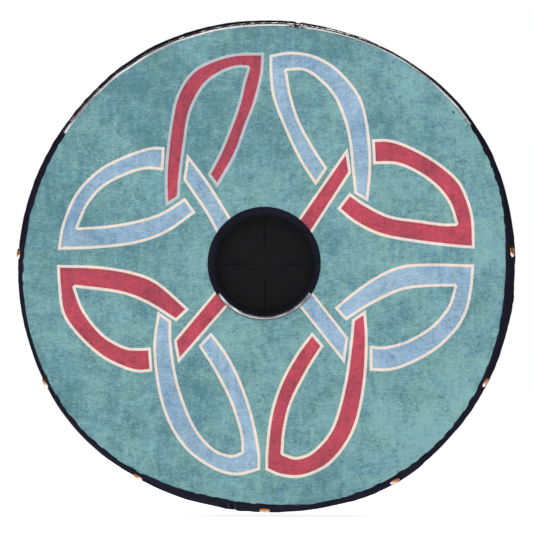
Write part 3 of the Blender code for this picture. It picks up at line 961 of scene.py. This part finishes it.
def build_eyelets():
    """Two-part brass eyelets: a domed flange and barrel outside, a rolled washer inside."""
    flange = rounded_loop([
        (0.0056, 0.0032), (0.0070, 0.0027), (0.0083, 0.0014), (0.0086, 0.0002), (0.0081, -0.0004),
        (0.0060, -0.0001), (0.0046, -0.0008), (0.0045, -0.0024), (0.0057, -0.0027), (0.0056, -0.0033),
        (0.0046, -0.0036), (0.0040, -0.0028), (0.0034, -0.0002), (0.0034, 0.0016), (0.0043, 0.0028)], 4)
    washer = rounded_loop([
        (0.0080, -0.0016), (0.0081, -0.0020), (0.0078, -0.0023), (0.0066, -0.0024), (0.0053, -0.0022),
        (0.0050, -0.0019), (0.0053, -0.0016), (0.0066, -0.0015)], 4)
    for index in range(1, EYELET_COUNT + 1):
        label = f"{index:02d}"
        place = eyelet_place("eyelet_" + label)
        for name, profile in (("eyelet_", flange), ("eyelet_washer_", washer)):
            piece = turned_part("brass_" + name + label, profile, BRASS, place)
            fit_in(piece, name + label)


# ---- camera port
# The lip's hollow is the start of an ellipse, and a bevel joins it to the face.
LIP_HOLLOW_WIDTH = 0.0100
LIP_HOLLOW_DEPTH = 0.0190
LIP_HOLLOW_END = 77    # degrees round the ellipse
LIP_THICK = 0.0010
LIP_OVERLAP = 0.0004
LIP_BEVEL = ((0.25, 0.00008), (0.5, 0.00011), (0.75, 0.00008), (1.0, 0.0))    # share of it, swell
LIP_TUCK = ((0.0005, 0.0004), (0.0009, 0.0015), (0.0012, 0.0028))    # out and back from its end
LIP_CREASE_IN, LIP_CREASE_BACK = 0.0005, 0.0003


def build_lip():
    """The leathercloth roll that turns from the face's inner seam down into the port."""
    angles = full_turn(360)
    profile = []
    for turn in np.radians(np.linspace(0, LIP_HOLLOW_END, 14)):
        reach = LIP_HOLLOW_WIDTH * (1 - math.cos(turn))
        profile.append((THROAT_RADIUS + reach, THROAT_Y - LIP_HOLLOW_DEPTH * math.sin(turn)))
    seam_radius = PANEL_INNER + LIP_OVERLAP
    bevel_radius, bevel_y = profile[-1]
    for share, rise in LIP_BEVEL:
        radius = bevel_radius + (seam_radius - bevel_radius) * share
        profile.append((radius, bevel_y + (FACE_Y - bevel_y) * share - rise))
    profile += [(seam_radius + out, FACE_Y + back) for out, back in LIP_TUCK]
    profile = np.array(profile)
    rise = fade(profile[:, 1], THROAT_Y, FACE_Y)[:, None]
    rise = rise * fade(profile[:, :1], bevel_radius + 0.001, bevel_radius - 0.002)
    creases = ripples(41, angles, profile[:, 1:], (24, 60), 0.05, 16)
    radius = profile[:, :1] - LIP_CREASE_IN * creases * rise
    depth = profile[:, 1:] + LIP_CREASE_BACK * creases * rise
    lip = ring_piece("port_roll", angles, radius, depth, (LEATHERCLOTH, KNIT, POLISHED, KNIT))
    on_bevel = profile[:-1, :1] > bevel_radius - 0.0008
    polished = on_bevel & (np.sin(angles) < -UPWARD)
    lip.data.polygons.foreach_set("material_index", np.where(polished, 2, 0).ravel())
    thicken(lip, LIP_THICK, 1)
    fit_in(lip, "port_lip")


def build_port_rings():
    """The hoop that keeps the port open, and the tape that closes its back."""
    inner, outer = HOOP_RADII
    wire = (outer - inner) / 2
    middle = (outer + inner) / 2
    turns = np.linspace(0, TURN, 20)[:-1]
    circle = [(middle + wire * math.cos(turn), HOOP_Y + wire * math.sin(turn)) for turn in turns]
    hoop = turned("hoop", circle, PLASTIC)
    low, high = PORT_BINDING_RADII
    back, front = PORT_BINDING_BACK, PORT_BINDING_FRONT
    thick = 0.0010
    section = [
        (high, front + 0.0004), (high, back - 0.0010), (high - 0.0010, back), (low + 0.0006, back),
        (low, back - thick / 2), (low + 0.0006, back - thick), (high - thick - 0.0006, back - thick),
        (high - thick, back - thick - 0.0006), (high - thick, front + 0.0004), (high - thick / 2, front)]
    binding = turned("port_tape", section, TAPE)
    for piece, name, slot in ((hoop, "port_hoop", "hoop_plastic"), (binding, "port_binding", "tape")):
        fit_in(piece, name)
    angles = full_turn(130)[0]
    middle, rear = np.full_like(angles, (low + high) / 2), np.full_like(angles, back + 0.0001)
    sew_round("port_stitches", angles, middle, rear)


FLAP_ROOT = FOLD_DISTANCE + 0.0040    # where a flap's cloth passes into the margin round it
FLAP_TIP = 0.00006    # how far short of the port's middle a flap stops
FLAPS = ("upper_right", "upper_left", "lower_left", "lower_right")


def cloth_sag(x, z):
    """The port's cloth bellies back a little and is not quite flat."""
    radius, angle = np.hypot(x, z), np.arctan2(z, x)
    return 0.0004 * ripples(51, angle, radius, (2, 7), 0.09) * fade(radius, CLOTH_RADIUS - 0.006, 0.06)


def build_port_margin():
    """The fixed margin of the black cloth, between the lip and the four flaps."""
    angles = full_turn(360)
    quarter = (angles % (math.pi / 2)) - math.pi / 4
    inner = FLAP_ROOT / np.cos(quarter)
    share = np.linspace(0, 1, 13)[:, None]
    radius = inner + (CLOTH_RADIUS - inner) * share
    depth = CLOTH_FRONT_Y + cloth_sag(radius * np.cos(angles), radius * np.sin(angles))
    margin = ring_piece("port_margin", angles, radius, depth, BLACK_CLOTH)
    thicken(margin, CLOTH_BACK_Y - CLOTH_FRONT_Y)
    fit_in(margin, "port_cloth")


def build_flap(name, angle):
    """One flap of the slit cloth, with the strip past its fold that runs on into the margin."""
    along = np.concatenate([
        np.linspace(FLAP_TIP, FOLD_DISTANCE - 0.005, 44),
        np.linspace(FOLD_DISTANCE - 0.0045, FLAP_ROOT, 20),
    ])[:, None]
    across = np.linspace(-1, 1, 61)[None, :] * along
    away, side = (math.cos(angle), math.sin(angle)), (-math.sin(angle), math.cos(angle))
    x = along * away[0] + across * side[0]
    z = along * away[1] + across * side[1]
    edge = (along - np.abs(across)) * math.sqrt(0.5)
    curl = 0.0024 * np.exp(-((edge / 0.0016) ** 1.5))
    curl = curl * fade(along, FOLD_DISTANCE + 0.001, FOLD_DISTANCE - 0.006)
    curl = curl * fade(along, 0.009, 0.026)
    depth = CLOTH_FRONT_Y + cloth_sag(x, z) + curl
    points = np.stack([x, depth, z], axis=-1).reshape(-1, 3)
    ids = np.arange(x.size).reshape(x.shape)
    flap = new_piece("cloth_flap_" + name, points, grid_quads(ids), BLACK_CLOTH)
    thicken(flap, CLOTH_BACK_Y - CLOTH_FRONT_Y)
    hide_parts("port_flap_" + name)
    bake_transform(flap)


def build_port_cloth():
    build_port_margin()
    for quarter, name in enumerate(FLAPS):
        build_flap(name, math.pi / 4 + quarter * math.pi / 2)


# ---- lining inside the face
LINING_RIPPLE = BINDING_RIPPLE = 0.0003
LINING_THICK = 0.0010


def build_lining():
    """Fleece behind the canvas, and the tape that binds the seam round it."""
    angles = full_turn(540)
    inner, outer = LINING_INNER, LINING_RADIUS
    rows = np.linspace(0, 1, 60)[:, None]
    radius = outer + (inner - outer) * rows
    radius = radius + edge_shift(angles) * fade(radius, 0.25, FACE_RADIUS)
    depth = LINING_RIPPLE * ripples(61, angles, radius, (3, 20), 0.12) - 0.0004
    lining = ring_piece("fleece_lining", angles, radius, depth, FLEECE)
    thicken(lining, LINING_THICK)
    fit_in(lining, "face_backing")
    inner, outer = SEAM_BINDING_RADII
    section = rounded_loop([
        (outer, -0.0010), (outer, -0.0002), (outer - 0.002, 0.0), (inner + 0.002, 0.0002),
        (inner, -0.0001), (inner, -0.0011), (inner + 0.002, -0.0013), (outer - 0.002, -0.0013)], 3)
    angles = full_turn(720)
    ripple = BINDING_RIPPLE * ripples(62, angles, 0, (50, 120), 1, 20)
    radius, depth = section[:, :1] + edge_shift(angles), section[:, 1:] + ripple
    binding = ring_piece("seam_binding", angles, radius, depth, TAPE, loop=True)
    fit_in(binding, "face_seam_binding")
    angles = full_turn(560)[0]
    ripple = BINDING_RIPPLE * ripples(62, angles, 0, (50, 120), 1, 20)
    for side, radius in (("inner", inner + 0.003), ("outer", outer - 0.003)):
        sew_round("binding_stitches_" + side, angles, radius + edge_shift(angles), ripple + 0.0003)


# ---- floor, light and camera
# The key light is an arch of softboxes. Each is tilted from the face's axis by the same angle,
# so that the bevels on the shoulder and on the port's lip catch it all along.
KEY_TILT = 54
KEY_DISTANCE = 6.2
KEY_BEARINGS = (48, 68, 88, 108, 128, 148)
KEY_SIZE = (1.80, 0.80)
KEY_POWER = 34
FILL_SIZE = (3.0, 2.4)
FRONT_FILL_POWER = 8
REAR_FILL_POWER = 170
FLOOR_REACH = 14.0
FLOOR_DROP = 0.006    # how far under the CAD's lowest point
FLOOR_GLOW = 0.88
SURROUND_LIGHT = 0.13    # the white surround's brightness as a light; the camera sees it as 1
CAMERA_TURN = math.radians(4.3)
CAMERA_RISE = math.radians(-2.7)
CAMERA_DISTANCE = 5.0


def aim(obj, place, target):
    obj.location = place
    obj.rotation_euler = (Vector(target) - Vector(place)).to_track_quat("-Z", "Y").to_euler()


def softbox(name, place, size, power):
    """A soft light that looks at the middle of the frame."""
    light = bpy.data.lights.new(name, "AREA")
    light.shape = "RECTANGLE"
    light.size, light.size_y = size
    light.energy = power
    obj = bpy.data.objects.new(name, light)
    bpy.context.scene.collection.objects.link(obj)
    aim(obj, place, (0, 0, 0))


def build_studio():
    """A pale floor under the cover, glowing a little like a lit table, and a white surround."""
    paint = material(
        "pale_floor", Roughness=0.9, Emission_Color=(1, 1, 1, 1), Emission_Strength=FLOOR_GLOW)
    plug(paint, "Base Color", mix(paint, noise(paint, 3, 3), (0.90, 0.90, 0.90), (0.94, 0.94, 0.94)))
    mesh = bpy.data.meshes.new("floor")
    level = CAD_BOX[0].z - FLOOR_DROP
    corners = ((-1, -1), (1, -1), (1, 1), (-1, 1))
    mesh.from_pydata([(x * FLOOR_REACH, y * FLOOR_REACH, level) for x, y in corners], [], [(0, 1, 2, 3)])
    mesh.materials.append(paint)
    floor = bpy.data.objects.new("floor", mesh)
    bpy.context.scene.collection.objects.link(floor)
    world = bpy.data.worlds.new("surround")
    bpy.context.scene.world = world
    world.use_nodes = True
    tree = world.node_tree
    background = tree.nodes["Background"]
    background.inputs["Color"].default_value = (1, 1, 1, 1)
    path = tree.nodes.new("ShaderNodeLightPath")
    level_node = tree.nodes.new("ShaderNodeMapRange")
    level_node.inputs["To Min"].default_value = SURROUND_LIGHT
    level_node.inputs["To Max"].default_value = 1.0
    tree.links.new(path.outputs["Is Camera Ray"], level_node.inputs["Value"])
    tree.links.new(level_node.outputs[0], background.inputs["Strength"])
    bpy.context.scene.view_settings.view_transform = "Standard"
    tilt = math.radians(KEY_TILT)
    for bearing in KEY_BEARINGS:
        turn = math.radians(bearing)
        across, up = math.cos(turn) * math.sin(tilt), math.sin(turn) * math.sin(tilt)
        place = Vector((across, -math.cos(tilt), up)) * KEY_DISTANCE
        softbox("key_%03d" % bearing, place, KEY_SIZE, KEY_POWER)
    softbox("front_fill", (0.5, -6.0, 1.2), FILL_SIZE, FRONT_FILL_POWER)
    softbox("rear_fill", (-1.0, 6.0, 2.6), FILL_SIZE, REAR_FILL_POWER)


def build_camera():
    """The cover seen a little from its right and from just below its axis, from 5 metres off."""
    lens = bpy.data.cameras.new("camera")
    lens.sensor_width = 36
    lens.lens = 211
    lens.clip_end = 100
    camera = bpy.data.objects.new("camera", lens)
    bpy.context.scene.collection.objects.link(camera)
    level = math.cos(CAMERA_RISE)
    back = Vector((math.sin(CAMERA_TURN) * level, -math.cos(CAMERA_TURN) * level, math.sin(CAMERA_RISE)))
    target = Vector((0.004, FACE_Y, -0.005))
    aim(camera, target + back * CAMERA_DISTANCE, target)
    bpy.context.scene.camera = camera


build_camera()
build_studio()
build_face()
build_wall()
build_seam_tapes()
build_hem()
build_eyelets()
build_lip()
build_port_rings()
build_port_cloth()
build_lining()
